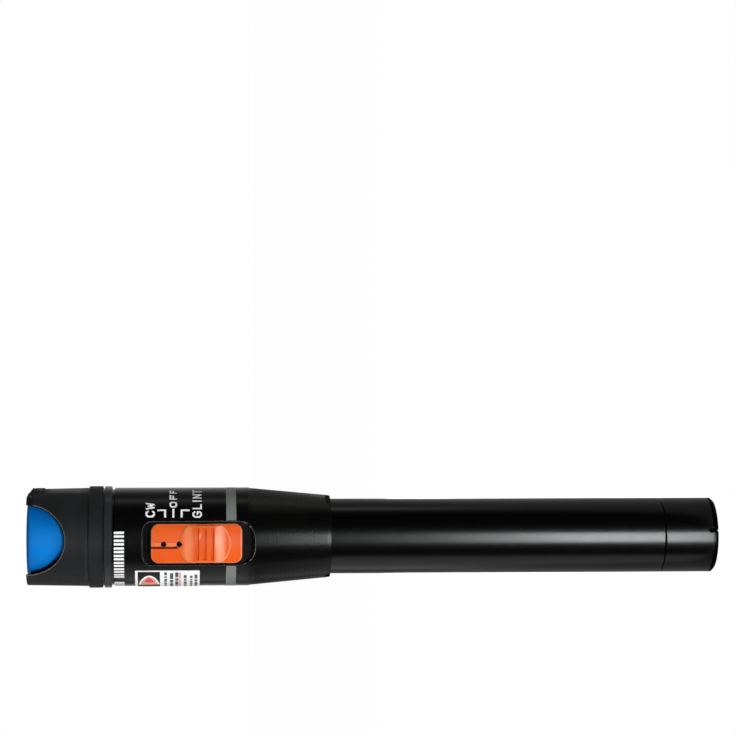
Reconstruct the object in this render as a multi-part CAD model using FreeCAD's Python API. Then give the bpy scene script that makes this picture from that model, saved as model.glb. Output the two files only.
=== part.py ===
import FreeCAD, Part
import math
import os

# Pen-type visual fault locator: a laser torch that shines red light into an optical fibre.
# Frame: Z runs up the pen from the centre of its tail face to its nose, the slide switch is
# on the -Y side and the dust cap's hinge on the +X side. Millimetres.

os.makedirs("parts", exist_ok=True)
Vec = FreeCAD.Vector

# ---- clearances
running_gap = 0.05        # radial play of turned fits and threads
slide_gap = 0.15          # play of the sliding switch plate and the dust cap
snap_gap = 0.10           # play under the slider's hooks

# ---- batteries (two AA cells)
cell_r = 7.25
cell_length = 50.5
cell_nub_r = 2.75
cell_nub_height = 1.3
cell_edge_round = 0.8
cell_end_gap = 0.1        # between the spring's tip and the rear cell
cell_proud = 10.2         # the front cell stands this far out of the battery tube
cell_side_gap = 0.35
cell_head_gap = 0.45

# ---- tail cap
tail_cap_length = 13.6
tail_floor = 3.0
tail_edge_chamfer = 0.6
seam_chamfer = 0.15
tail_stub_set_in = 1.0    # its thread lies this far inside the tube's outside
tail_stub_length = 7.0
tail_bore_step = 1.0
tail_shoulder_drop = 0.3
stub_end_chamfer = 0.4
tail_spring_height = 13.4
tail_contact_thickness = 0.5
tail_contact_gap = 0.1
spring_wire_r = 0.45
spring_base_r = 5.6
spring_tip_r = 3.4
spring_open_turns = 4.0
seal_groove_width = 1.2
seal_groove_depth = 1.12
seal_groove_setback = 0.4
lanyard_hole_r = 0.55
lanyard_side_height = 1.6
lanyard_end_inset = 1.2
lanyard_angle = 15.5      # degrees from the switch line, towards the hinge side

# ---- battery tube
tube_wall = 1.9
stub_end_gap = 0.2
spigot_set_in = 0.6
spigot_length = 9.0
spigot_chamfer = 0.3
spigot_groove_depth = 0.8
spigot_groove_width = 1.3
spigot_groove_setback = 0.8

# ---- head housing
step_rise = 0.86          # the taper ends this far outside the battery tube
step_chamfer = 1.0
taper_foot_rise = 1.0
taper_length = 19.4
taper_top_inset = 0.13
body_r = 12.43
body_length = 33.9
body_edge = 0.15
groove_width = 0.7
groove_depth = 0.36
ring_rise = 0.4
body_ring_width = 1.85
ring_edge = 0.18
cowl_seam = 0.4
cowl_seam_depth = 0.13
neck_r = 9.8
neck_length = 3.35
body_wall = 3.23
cavity_length = 29.5
bulkhead_bore_r = 6.05
ring_contact_thickness = 0.5

# ---- front cowl
cowl_ring_width = 3.45
cowl_length = 15.5
cowl_foot_inset = 0.03     # the cowl's outside, measured in from the body's
cowl_mid_inset = 0.23
cowl_mid_drop = 5.5
cowl_nose_inset = 0.33
cowl_wall = 1.4
cowl_floor = 1.5
flange_gap = 0.1
cowl_clock = 3.7          # degrees that the cowl is turned from the switch line
scallop_depth = 9.75
scallop_half_width = 8.7

# ---- dust cap and its hinge
hinge_inset = 0.2         # the pin's axis, inside the cowl's bore
hinge_drop = 1.0
pin_r = 0.45
knuckle_r = 1.0
knuckle_half = 2.0
knuckle_gap = 0.3
ear_r = 1.3
ear_reach = 5.9
hinge_block_half = 3.3
hinge_block_low = 4.2
hinge_block_high = 1.0
hinge_block_rise = 0.3    # the hinge block stands out of the cowl's nose
horn_corner_drop = 1.45
lid_thickness = 1.8
lid_set_back = 0.2
lid_bevel = 0.6
wing_wall = 1.5
wing_gap = 0.3
wing_lip_depth = 0.5      # a lip behind the cowl's wall closes the gap under each wing
wing_lip_half = 3.0
lid_ear_gap = 0.85
pad_r = 4.2
pad_thickness = 0.9
pad_gap = 0.1

# ---- fibre port and laser module
sleeve_bore_r = 1.25
sleeve_wall = 0.45
sleeve_length = 13.2
sleeve_slit = 0.3
adapter_r = 3.2
adapter_lip = 0.6
adapter_edge = 0.3
adapter_lip_r = 1.35
adapter_flange_r = 5.0
adapter_flange_height = 3.0
adapter_stub_r = 3.0
adapter_stub_length = 5.0
adapter_throat_r = 0.9
module_r = 6.0
module_length = 12.6
module_set_back = 0.8
diode_flange_r = 2.8
diode_flange_height = 1.2
diode_can_r = 2.3
diode_length = 3.3
diode_inset = 0.3
lens_r = 2.05
lens_thickness = 1.9
lens_edge = 1.1
lens_end_gap = 0.1
module_throat_r = 1.5

# ---- slide switch and its orange slider
recess_width = 11.0
recess_corner = 2.5
recess_tail_corner = 4.3
recess_tail_room = 1.1    # left free past the plate on the tail side
recess_depth = 2.43
recess_low = 1.2          # the recess runs this far below the body's foot
floor_wall = 0.75
slider_width = 9.85
slider_length = 22.7
slider_corner = 2.0
slider_rise = 0.2
slider_edge_round = 0.5
slider_travel = 2.05      # each way from the middle
slider_end_gap = 0.1      # left at either end of the travel
pad_round_r = 6.4
pad_below_centre = 2.1
pad_rise = 0.4
pad_bevel = 0.35
pad_side_inset = 0.35
rib_rise = 0.85
rib_bevel = 0.2
rib_half = 2.7
rib_slope = 2.4
rib_groove_width = 0.6
rib_groove_depth = 0.5
rib_groove_inset = 1.0
rib_groove_pitch = 1.85
slider_hole_r = 0.7
slider_hole_near = 4.3
slider_hole_far = 8.2
bar_half_width = 0.5
bar_length = 7.2
bar_past_hole = 1.7
bar_rise = 0.2
slit_offset = 0.6
slit_width = 0.5
slit_length = 6.6
slit_depth = 1.4
stem_half_width = 1.4
stem_half_length = 3.0
stem_root = 0.5
hook_reach = 0.6
hook_thickness = 0.4
hook_side_gap = 0.4
lever_half_width = 0.75
lever_half_length = 1.0
lever_bite = 1.3
lever_root = 0.9
switch_body_half_width = 2.0
switch_body_half_length = 4.5
hook_body_gap = 0.3

# ---- circuit board
board_thickness = 1.0
board_set_in = 3.7        # its outer face, in from the cavity's wall
board_side_gap = 0.18
board_length = 23.2
carrier_thickness = 2.0
contact_button_r = 3.0
button_height = 2.0
contact_shank_r = 1.2
contact_strip = 0.3
contact_strip_half = 1.5
strip_half_width = 1.2
strip_thickness = 0.3
strip_inset = 0.4         # in from the tube's spigot
strip_above_board = 1.8
strip_gap = 0.1
chip_half_width = 2.5
chip_length = 5.0
chip_height = 1.5
chip_height_above_carrier = 4.0
capacitor_half_width = 1.4
capacitor_length = 3.5
capacitor_height = 1.9
capacitor_above_chip = 3.0
wire_r = 0.4
wire_board_x = 2.6
wire_pin_x = 1.0
wire_run = 4.0
wire_lift = 0.1

# ---- label round the lower side of the head
label_length = 16.1
label_below_top = 5.2
label_thickness = 0.08
label_start = 34.0        # degrees from the switch line, away from the hinge side
label_span = 120.0
label_corner_gap = 0.02

# ---- drawing margins
past = 1.0                # a cut runs this far past the face that it opens
beyond = 40.0             # further than anything reaches

# ---- radii and depths that follow
tube_bore_r = cell_r + cell_side_gap
cell_bore_r = cell_r + cell_head_gap
tube_r = tube_bore_r + tube_wall
tail_stub_r = tube_r - tail_stub_set_in
tail_mouth_r = tube_bore_r
tail_bore_r = tail_mouth_r - tail_bore_step
tail_contact_r = tail_bore_r - tail_contact_gap
spigot_r = tube_r - spigot_set_in
step_r = tube_r + step_rise
taper_foot_r = tube_r + taper_foot_rise
taper_top_r = body_r - taper_top_inset
cavity_r = body_r - body_wall
recess_floor_y = body_r - recess_depth
cowl_foot_r = body_r - cowl_foot_inset
cowl_mid_r = body_r - cowl_mid_inset
cowl_nose_r = body_r - cowl_nose_inset
cowl_bore_r = cowl_nose_r - cowl_wall
hinge_x = cowl_bore_r - hinge_inset
hinge_block_r = cowl_nose_r + hinge_block_rise
board_y = cavity_r - board_set_in
board_half_width = math.sqrt(cavity_r ** 2 - board_y ** 2) - board_side_gap
strip_y = spigot_r - strip_inset
hook_y = recess_floor_y - floor_wall - snap_gap
switch_body_height = hook_y - hook_thickness - hook_body_gap - board_y

# ---- heights that follow from the stack
tube_foot = tail_cap_length
spring_top = tail_floor + tail_contact_thickness + tail_spring_height
cell_foot = spring_top + cell_end_gap
cell_top = cell_foot + 2 * cell_length
spigot_top = cell_top - cell_proud
head_foot = spigot_top - spigot_length
taper_foot = head_foot + step_chamfer
body_foot = taper_foot + taper_length
body_top = body_foot + body_length
ring_foot = body_top + groove_width
ring_top = ring_foot + body_ring_width
cowl_foot = ring_top + cowl_seam
cowl_step = cowl_foot + cowl_ring_width
nose = cowl_step + cowl_length
ring_r = body_r + ring_rise
ground_top = spigot_top + ring_contact_thickness
shelf = cell_top + button_height
cavity_top = shelf + cavity_length
neck_top = cowl_foot + neck_length
module_top = neck_top - module_set_back
module_foot = module_top - module_length
hinge_z = nose - hinge_drop
lid_top = nose - lid_set_back
lid_under = lid_top - lid_thickness
lid_r = cowl_bore_r - slide_gap
adapter_top = lid_under - pad_thickness - pad_gap
slider_run = slider_length + 2 * (slider_travel + slider_end_gap)
recess_length = slider_run + recess_tail_room
switch_z = body_foot - recess_low + recess_tail_room + slider_run / 2
board_foot = shelf + carrier_thickness + contact_strip
board_top = board_foot + board_length


def cylinder(r, z0, z1, x=0.0, y=0.0):
    return Part.makeCylinder(r, z1 - z0, Vec(x, y, z0))


def tube(r_out, r_in, z0, z1):
    outer = cylinder(r_out, z0, z1)
    return outer.cut(cylinder(r_in, z0 - past, z1 + past))


def cross_cylinder(r, y0, y1, x, z):
    return Part.makeCylinder(r, y1 - y0, Vec(x, y0, z), Vec(0, 1, 0))


def box(x0, x1, y0, y1, z0, z1):
    return Part.makeBox(x1 - x0, y1 - y0, z1 - z0, Vec(x0, y0, z0))


def turned(profile):
    points = [Vec(r, 0, z) for r, z in profile]
    points.append(points[0])
    face = Part.Face(Part.makePolygon(points))
    return face.revolve(Vec(0, 0, 0), Vec(0, 0, 1), 360)


def upright_edges(shape, z):
    found = []
    for edge in shape.Edges:
        ends = [v.Point for v in edge.Vertexes]
        if abs(ends[0].y - ends[1].y) > 1e-6 and abs(ends[0].z - z) < 1e-6:
            found.append(edge)
    return found


def slab(half_x, z0, z1, low_corner, high_corner, y0, y1):
    plain = box(-half_x, half_x, y0, y1, z0, z1)
    rounded = plain.makeFillet(low_corner, upright_edges(plain, z0))
    return rounded.makeFillet(high_corner, upright_edges(rounded, z1))


def outer_edges(shape, r):
    """The edges that lie on the round surface of radius r."""
    found = []
    for edge in shape.Edges:
        middle = edge.valueAt((edge.FirstParameter + edge.LastParameter) / 2)
        points = [v.Point for v in edge.Vertexes] + [middle]
        if max(abs(math.hypot(q.x, q.y) - r) for q in points) < 1e-4:
            found.append(edge)
    return found


def ellipse_prism(half_z, half_x, half_y, z):
    curve = Part.Ellipse(Vec(0, 0, 0), half_z, half_x)
    face = Part.Face(Part.Wire(curve.toShape()))
    prism = face.extrude(Vec(0, 0, 2 * half_y))
    prism.translate(Vec(0, 0, -half_y))
    prism.rotate(Vec(0, 0, 0), Vec(1, 1, 1), -120)
    prism.translate(Vec(0, 0, z))
    return prism


def one_solid(shape):
    whole = shape.removeSplitter()
    if not whole.isValid():
        whole = shape
    if len(whole.Solids) != 1:
        raise ValueError("expected one solid, got %d" % len(whole.Solids))
    return whole.Solids[0]


def clocked(shape):
    turned_shape = shape.copy()
    turned_shape.rotate(Vec(0, 0, 0), Vec(0, 0, 1), cowl_clock)
    return turned_shape


def save(name, shape):
    solid = one_solid(shape)
    if not solid.isValid():
        raise ValueError("%s is not valid" % name)
    solid.exportStep("parts/%s.step" % name)
    print("%-18s %9.1f mm3" % (name, solid.Volume))


# ---- tail end

def seal_groove(r, depth, z0, width):
    return tube(r + past, r - depth, z0, z0 + width)


def make_tail_cap():
    top = tail_cap_length + tail_stub_length
    profile = [(0, 0), (tube_r - tail_edge_chamfer, 0), (tube_r, tail_edge_chamfer)]
    profile += [(tube_r, tail_cap_length - seam_chamfer)]
    profile += [(tube_r - seam_chamfer, tail_cap_length)]
    e = stub_end_chamfer
    profile += [(tail_stub_r, tail_cap_length), (tail_stub_r, top - e)]
    profile += [(tail_stub_r - e, top), (0, top)]
    cap = turned(profile)
    shoulder = cell_foot - tail_shoulder_drop
    cap = cap.cut(cylinder(tail_bore_r, tail_floor, shoulder + past))
    cap = cap.cut(cylinder(tail_mouth_r, shoulder, top + past))
    groove_foot = tail_cap_length + seal_groove_setback
    cap = cap.cut(seal_groove(tail_stub_r, seal_groove_depth, groove_foot, seal_groove_width))
    return cap.cut(lanyard_drill())


def lanyard_drill():
    side = Vec(tube_r, 0, lanyard_side_height)
    end = Vec(tube_r - lanyard_end_inset, 0, 0)
    way = (side - end).normalize()
    drill = Part.makeCylinder(lanyard_hole_r, tail_floor * 2, end - way * past, way)
    drill.rotate(Vec(0, 0, 0), Vec(0, 0, 1), lanyard_angle - 90)
    return drill


def make_tail_seal():
    section = (seal_groove_depth - 0.02) / 2
    middle = tail_stub_r - section
    z = tail_cap_length + seal_groove_setback + seal_groove_width / 2
    return Part.makeTorus(middle, section, Vec(0, 0, z))


def make_tail_contact():
    return cylinder(tail_contact_r, tail_floor, tail_floor + tail_contact_thickness)


def spring_point(turn):
    wire = 2 * spring_wire_r + 0.03
    low = tail_floor + tail_contact_thickness + spring_wire_r
    high = spring_top - spring_wire_r
    rise = (high - low - 2 * wire) / spring_open_turns
    if turn < 1:
        z = low + wire * turn
    elif turn < 1 + spring_open_turns:
        z = low + wire + rise * (turn - 1)
    else:
        z = high - wire * (spring_open_turns + 2 - turn)
    share = min(max((turn - 1) / spring_open_turns, 0), 1)
    r = spring_base_r + (spring_tip_r - spring_base_r) * share
    angle = 2 * math.pi * turn
    return Vec(r * math.cos(angle), r * math.sin(angle), z)


def make_tail_spring():
    per_turn = 16
    count = int(per_turn * (spring_open_turns + 2))
    points = [spring_point(i / per_turn) for i in range(count + 1)]
    path = Part.BSplineCurve()
    path.interpolate(points)
    spine = Part.Wire(path.toShape())
    along = path.tangent(path.FirstParameter)[0]
    ring = Part.Wire(Part.makeCircle(spring_wire_r, points[0], along))
    return spine.makePipeShell([ring], True, True)


# ---- battery tube and cells

def make_battery_tube():
    foot = tube_foot
    profile = [(tube_bore_r, foot), (tube_r - seam_chamfer, foot), (tube_r, foot + seam_chamfer)]
    profile += [(tube_r, head_foot), (spigot_r, head_foot)]
    e = spigot_chamfer
    profile += [(spigot_r, spigot_top - e), (spigot_r - e, spigot_top)]
    profile += [(tube_bore_r, spigot_top)]
    barrel = turned(profile)
    mouth_top = foot + tail_stub_length + stub_end_gap
    barrel = barrel.cut(cylinder(tail_stub_r + running_gap, foot - past, mouth_top))
    groove_foot = head_foot + spigot_groove_setback
    groove = seal_groove(spigot_r, spigot_groove_depth, groove_foot, spigot_groove_width)
    return barrel.cut(groove)


def make_tube_seal():
    section = (spigot_groove_depth + running_gap - 0.01) / 2
    z = head_foot + spigot_groove_setback + spigot_groove_width / 2
    middle = spigot_r - spigot_groove_depth + section
    return Part.makeTorus(middle, section, Vec(0, 0, z))


def make_cell(foot):
    shoulder = foot + cell_length - cell_nub_height
    e = cell_edge_round
    profile = [(0, foot), (cell_r - e, foot), (cell_r - e * 0.3, foot + e * 0.3)]
    profile += [(cell_r, foot + e), (cell_r, shoulder - e)]
    profile += [(cell_r - e * 0.3, shoulder - e * 0.3), (cell_r - e, shoulder)]
    profile += [(cell_nub_r, shoulder), (cell_nub_r, foot + cell_length - 0.2)]
    profile += [(cell_nub_r - 0.2, foot + cell_length), (0, foot + cell_length)]
    return turned(profile)


# ---- head housing

def head_outside():
    e = ring_edge
    profile = [(0, head_foot), (step_r, head_foot), (taper_foot_r, taper_foot)]
    profile += [(taper_top_r, body_foot), (body_r, body_foot + body_edge)]
    profile += [(body_r, body_top - body_edge), (body_r - body_edge, body_top)]
    profile += [(body_r - groove_depth, body_top), (body_r - groove_depth, ring_foot)]
    profile += [(ring_r - e, ring_foot), (ring_r, ring_foot + e), (ring_r, ring_top - e)]
    profile += [(ring_r - e, ring_top), (body_r - cowl_seam_depth, ring_top)]
    profile += [(body_r - cowl_seam_depth, cowl_foot), (neck_r, cowl_foot)]
    profile += [(neck_r, neck_top), (0, neck_top)]
    return turned(profile)


def head_hollows():
    hollow = cylinder(spigot_r + running_gap, head_foot - past, ground_top)
    hollow = hollow.fuse(cylinder(cell_bore_r, ground_top - past, shelf + past))
    hollow = hollow.fuse(cylinder(cavity_r, shelf, cavity_top))
    hollow = hollow.fuse(cylinder(bulkhead_bore_r, cavity_top - past, neck_top + past))
    reach = strip_half_width + strip_gap
    top = board_foot + strip_above_board + strip_gap
    channel = box(-reach, reach, -strip_y - strip_gap, -board_y, spigot_top, top)
    return hollow.fuse(channel)


def switch_recess():
    low = body_foot - recess_low
    pocket = slab(recess_width / 2, low, low + recess_length, recess_tail_corner,
                  recess_corner, -beyond, -recess_floor_y)
    half = stem_half_length + slider_travel + slide_gap
    side = stem_half_width + slide_gap
    slot = box(-side, side, -beyond, -board_y, switch_z - half, switch_z + half)
    side = stem_half_width + hook_reach + hook_side_gap
    inner_y = recess_floor_y - floor_wall
    half += hook_side_gap
    relief = box(-side, side, -inner_y, -board_y, switch_z - half, switch_z + half)
    return pocket.fuse(slot).fuse(relief)


def make_head_housing():
    return head_outside().cut(head_hollows()).cut(switch_recess())


def make_label():
    top = body_top - label_below_top
    low = top - label_length
    sheet = Part.makeCylinder(body_r + label_thickness, label_length, Vec(0, 0, low))
    sheet = sheet.cut(cylinder(body_r, low - past, top + past))
    wedge = Part.makeCylinder(beyond, label_length, Vec(0, 0, low), Vec(0, 0, 1), label_span)
    wedge.rotate(Vec(0, 0, 0), Vec(0, 0, 1), -90 - label_start - label_span)
    return sheet.common(wedge)


# ---- slide switch

def slider_plate():
    low = switch_z - slider_length / 2
    high = switch_z + slider_length / 2
    under = recess_floor_y + slide_gap
    side = slider_width / 2
    top_r = body_r + slider_rise
    plate = slab(side, low, high, slider_corner, slider_corner, -beyond, -under)
    plate = plate.common(cylinder(top_r, low, high))
    return plate.makeFillet(slider_edge_round, outer_edges(plate, top_r))


def pad_disc(r):
    z = switch_z - pad_below_centre
    side = slider_width / 2 - pad_side_inset
    disc = cross_cylinder(pad_round_r, -beyond, -recess_floor_y - slide_gap, 0, z)
    disc = disc.common(box(-side, side, -beyond, 0, z - pad_round_r, z + pad_round_r))
    return disc.common(cylinder(r, z - pad_round_r, z + pad_round_r))


def rib_ramps(r1, r2):
    z = switch_z - pad_below_centre
    a = rib_half + rib_slope
    profile = [(0, z - a), (r1, z - a), (r2, z - rib_half), (r2, z + rib_half)]
    profile += [(r1, z + a), (0, z + a)]
    return turned(profile)


def rib_grooves(r2):
    z = switch_z - pad_below_centre
    half = rib_groove_width / 2
    reach = slider_width / 2 - rib_groove_inset
    grooves = []
    for step in (-1, 0, 1):
        middle = z + step * rib_groove_pitch
        ring = tube(r2 + past, r2 - rib_groove_depth, middle - half, middle + half)
        grooves.append(ring.common(box(-reach, reach, -beyond, 0, z - beyond, z + beyond)))
    return grooves


def thumb_pad():
    r0 = body_r + slider_rise
    r1 = r0 + pad_rise
    r2 = r0 + rib_rise
    low = pad_disc(r1)
    low = low.makeChamfer(pad_bevel, outer_edges(low, r1))
    ribs = pad_disc(r2 + past).common(rib_ramps(r1 - pad_bevel, r2))
    ribs = ribs.makeChamfer(rib_bevel, outer_edges(ribs, r2))
    pad = low.fuse(ribs)
    for groove in rib_grooves(r2):
        pad = pad.cut(groove)
    return pad


def slider_marks():
    r0 = body_r + slider_rise
    top = switch_z + slider_length / 2
    holes = []
    for up in (slider_hole_near, slider_hole_far):
        hole = cross_cylinder(slider_hole_r, -beyond, -recess_floor_y, 0, switch_z + up)
        holes.append(hole)
    slit = box(-slit_offset - slit_width, -slit_offset, -beyond, -r0 + slit_depth,
               top - slit_length, top + past)
    return holes[0].fuse(holes[1]).fuse(slit)


def slider_bar():
    r0 = body_r + slider_rise
    high = switch_z + slider_hole_far + slider_hole_r + bar_past_hole
    low = high - bar_length
    return box(-bar_half_width, bar_half_width, -r0 - bar_rise, -r0 + past, low, high)


def slider_stem():
    under = recess_floor_y + slide_gap
    inner = hook_y
    tip = inner - hook_thickness
    w = stem_half_width
    h = stem_half_length
    stem = box(-w, w, -under - stem_root, -tip, switch_z - h, switch_z + h)
    reach = w + hook_reach
    hooks = box(-reach, reach, -inner, -tip, switch_z - h, switch_z + h)
    lw = lever_half_width + running_gap
    lh = lever_half_length + running_gap
    pocket = box(-lw, lw, -recess_floor_y - running_gap, -tip + past, switch_z - lh,
                 switch_z + lh)
    return stem.fuse(hooks), pocket


def make_switch_slider():
    stem, pocket = slider_stem()
    plate = slider_plate().fuse(thumb_pad()).fuse(slider_bar())
    return plate.cut(slider_marks()).fuse(stem).cut(pocket)


def switch_body_top():
    return board_y + switch_body_height


def make_switch_lever():
    y_in = switch_body_top() - lever_root
    y_out = recess_floor_y
    w = lever_half_width
    h = lever_half_length
    return box(-w, w, -y_out, -y_in, switch_z - h, switch_z + h)


def make_slide_switch():
    w = switch_body_half_width
    h = switch_body_half_length
    block = box(-w, w, -switch_body_top(), -board_y, switch_z - h, switch_z + h)
    sw = lever_half_width + running_gap
    sh = lever_half_length + slider_travel + slide_gap
    depth = switch_body_top() - lever_root - running_gap
    return block.cut(box(-sw, sw, -beyond, -depth, switch_z - sh, switch_z + sh))


# ---- electronics

def make_circuit_board():
    w = board_half_width
    return box(-w, w, -board_y, -board_y + board_thickness, board_foot, board_top)


def inner_board_face():
    return -board_y + board_thickness


def make_driver_chip():
    low = board_foot + chip_height_above_carrier
    y = inner_board_face()
    return box(-chip_half_width, chip_half_width, y, y + chip_height, low, low + chip_length)


def make_capacitor():
    low = board_foot + chip_height_above_carrier + chip_length + capacitor_above_chip
    y = inner_board_face()
    w = capacitor_half_width
    return box(-w, w, y, y + capacitor_height, low, low + capacitor_length)


def make_contact_carrier():
    disc = cylinder(cavity_r - running_gap, shelf, shelf + carrier_thickness)
    hole = cylinder(contact_shank_r + running_gap, shelf - past, board_foot + past)
    reach = strip_half_width + strip_gap
    inner_y = strip_y - strip_thickness - strip_gap
    notch = box(-reach, reach, -beyond, -inner_y, shelf - past, board_foot + past)
    return disc.cut(hole).cut(notch)


def make_positive_contact():
    top = shelf + carrier_thickness
    rivet = cylinder(contact_button_r, cell_top, shelf)
    rivet = rivet.fuse(cylinder(contact_shank_r, cell_top, top + contact_strip))
    w = contact_strip_half
    strip = box(-w, w, -board_y, contact_shank_r, top, top + contact_strip)
    return rivet.fuse(strip)


def make_ground_ring():
    ring = tube(spigot_r - running_gap, cell_bore_r + strip_gap, spigot_top, ground_top)
    w = strip_half_width
    high = board_foot + strip_above_board
    leg = box(-w, w, -strip_y, -strip_y + strip_thickness, spigot_top, high)
    tab = box(-w, w, -strip_y, -board_y, high - strip_thickness, high)
    return ring.fuse(leg).fuse(tab)


def make_laser_wire(side):
    y = inner_board_face() + wire_r
    x0 = side * wire_board_x
    x1 = side * wire_pin_x
    top = module_foot + diode_inset
    y += wire_lift
    middle = (board_top + top) / 2
    points = [Vec(x0, y, board_top - wire_run), Vec(x0, y + wire_lift, board_top - wire_run / 2)]
    points += [Vec((x0 + x1) / 2, y / 2, middle - 1.0), Vec(x1, 0, top - 0.7)]
    points += [Vec(x1, 0, top - wire_lift)]
    path = Part.BSplineCurve()
    path.interpolate(Points=points, InitialTangent=Vec(0, 0, 1), FinalTangent=Vec(0, 0, 1))
    spine = Part.Wire(path.toShape())
    along = path.tangent(path.FirstParameter)[0]
    ring = Part.Wire(Part.makeCircle(wire_r, points[0], along))
    return spine.makePipeShell([ring], True, True)


# ---- laser module and fibre port

def make_laser_housing():
    diode_bore = diode_flange_r + running_gap
    seat = module_foot + diode_inset + diode_length
    stub_foot = module_top - adapter_stub_length
    lens_foot = stub_foot - lens_thickness - lens_end_gap
    barrel = cylinder(module_r, module_foot, module_top)
    barrel = barrel.cut(cylinder(diode_bore, module_foot - past, seat))
    barrel = barrel.cut(cylinder(module_throat_r, module_foot, stub_foot))
    barrel = barrel.cut(cylinder(lens_r + running_gap, lens_foot, stub_foot + past))
    return barrel.cut(cylinder(adapter_stub_r + running_gap, stub_foot, module_top + past))


def make_laser_diode():
    foot = module_foot + diode_inset
    can = cylinder(diode_flange_r, foot, foot + diode_flange_height)
    return can.fuse(cylinder(diode_can_r, foot, foot + diode_length))


def make_collimator_lens():
    foot = module_top - adapter_stub_length - lens_thickness - lens_end_gap
    rim = cylinder(lens_r, foot, foot + lens_edge)
    rise = lens_thickness - lens_edge
    ball_r = (lens_r ** 2 + rise ** 2) / (2 * rise)
    ball = Part.makeSphere(ball_r, Vec(0, 0, foot + lens_thickness - ball_r))
    dome = ball.common(cylinder(lens_r, foot, foot + lens_thickness + past))
    return rim.fuse(dome)


def make_port_adapter():
    flange_top = module_top + adapter_flange_height
    stub_foot = module_top - adapter_stub_length
    sleeve_r = sleeve_bore_r + sleeve_wall + running_gap
    sleeve_foot = adapter_top - adapter_lip - sleeve_length - 2 * running_gap
    e = adapter_edge
    profile = [(adapter_throat_r, stub_foot), (adapter_stub_r, stub_foot)]
    profile += [(adapter_stub_r, module_top), (adapter_flange_r, module_top)]
    profile += [(adapter_flange_r, flange_top - e), (adapter_flange_r - e, flange_top)]
    profile += [(adapter_r, flange_top), (adapter_r, adapter_top - e)]
    profile += [(adapter_r - e, adapter_top), (adapter_lip_r + e, adapter_top)]
    profile += [(adapter_lip_r, adapter_top - e), (adapter_lip_r, adapter_top - adapter_lip)]
    profile += [(sleeve_r, adapter_top - adapter_lip), (sleeve_r, sleeve_foot)]
    profile += [(adapter_throat_r, sleeve_foot)]
    return turned(profile)


def make_ceramic_sleeve():
    top = adapter_top - adapter_lip - running_gap
    low = top - sleeve_length
    sleeve = tube(sleeve_bore_r + sleeve_wall, sleeve_bore_r, low, top)
    half = sleeve_slit / 2
    return sleeve.cut(box(-half, half, 0, beyond, low - past, top + past))


# ---- cowl, dust cap and hinge

def cowl_outside():
    e = body_edge
    profile = [(neck_r + running_gap, cowl_foot), (ring_r - e, cowl_foot)]
    profile += [(ring_r, cowl_foot + e), (ring_r, cowl_step - e), (ring_r - e, cowl_step)]
    profile += [(cowl_foot_r, cowl_step), (cowl_mid_r, nose - cowl_mid_drop)]
    profile += [(cowl_nose_r, nose - e), (cowl_nose_r - e, nose), (cowl_bore_r, nose)]
    floor_low = neck_top + running_gap
    floor_high = floor_low + cowl_floor
    hole = adapter_flange_r + flange_gap
    profile += [(cowl_bore_r, floor_high), (hole, floor_high), (hole, floor_low)]
    profile += [(neck_r + running_gap, floor_low)]
    return turned(profile)


def hinge_ears():
    y0 = knuckle_half + slide_gap
    ears = cross_cylinder(ear_r, -ear_reach, -y0, hinge_x, hinge_z)
    ears = ears.fuse(cross_cylinder(ear_r, y0, ear_reach, hinge_x, hinge_z))
    b = hinge_block_half
    block = box(cowl_bore_r, beyond, -b, b, nose - hinge_block_low, nose - hinge_block_high)
    block = block.common(cylinder(hinge_block_r, 0, nose))
    inside = cylinder(cowl_nose_r, 0, nose)
    return ears.common(inside).fuse(block)


def horn_corner():
    side = -cowl_nose_r
    outer = hinge_block_r + hinge_block_rise
    points = [Vec(hinge_x, side, nose), Vec(outer, side, nose - horn_corner_drop)]
    points += [Vec(outer, side, nose + past), Vec(hinge_x, side, nose + past)]
    points.append(points[0])
    return Part.Face(Part.makePolygon(points)).extrude(Vec(0, 2 * cowl_nose_r, 0))


def make_cowl():
    cowl = cowl_outside()
    window = ellipse_prism(scallop_depth, scallop_half_width, beyond, nose)
    cowl = cowl.cut(window).fuse(hinge_ears())
    side = knuckle_half + slide_gap
    low = hinge_z - knuckle_r - knuckle_gap
    cowl = cowl.cut(box(hinge_x - ear_r - past, beyond, -side, side, low, nose + past))
    cowl = cowl.cut(horn_corner())
    cowl = cowl.cut(cross_cylinder(pin_r, -cowl_nose_r, cowl_nose_r, hinge_x, hinge_z))
    return clocked(cowl)


def make_hinge_pin():
    return clocked(cross_cylinder(pin_r, -ear_reach, ear_reach, hinge_x, hinge_z))


def lid_shell():
    b = lid_bevel
    profile = [(0, lid_under), (lid_r, lid_under), (lid_r, lid_top - b)]
    profile += [(lid_r - b, lid_top), (0, lid_top)]
    return turned(profile)


def lid_wings():
    b = lid_bevel
    low = nose - scallop_depth
    inner = lid_r - wing_wall
    profile = [(inner, low), (lid_r, low), (lid_r, lid_top - b), (lid_r - b, lid_top)]
    profile += [(inner, lid_top)]
    window = ellipse_prism(scallop_depth - wing_gap, scallop_half_width - wing_gap, beyond, nose)
    return turned(profile).common(window)


def wing_lips():
    low = nose - scallop_depth - wing_lip_depth
    ring = tube(lid_r - wing_gap, lid_r - wing_wall, low, nose - scallop_depth + past)
    return ring.common(box(-wing_lip_half, wing_lip_half, -beyond, beyond, low, nose))


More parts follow.
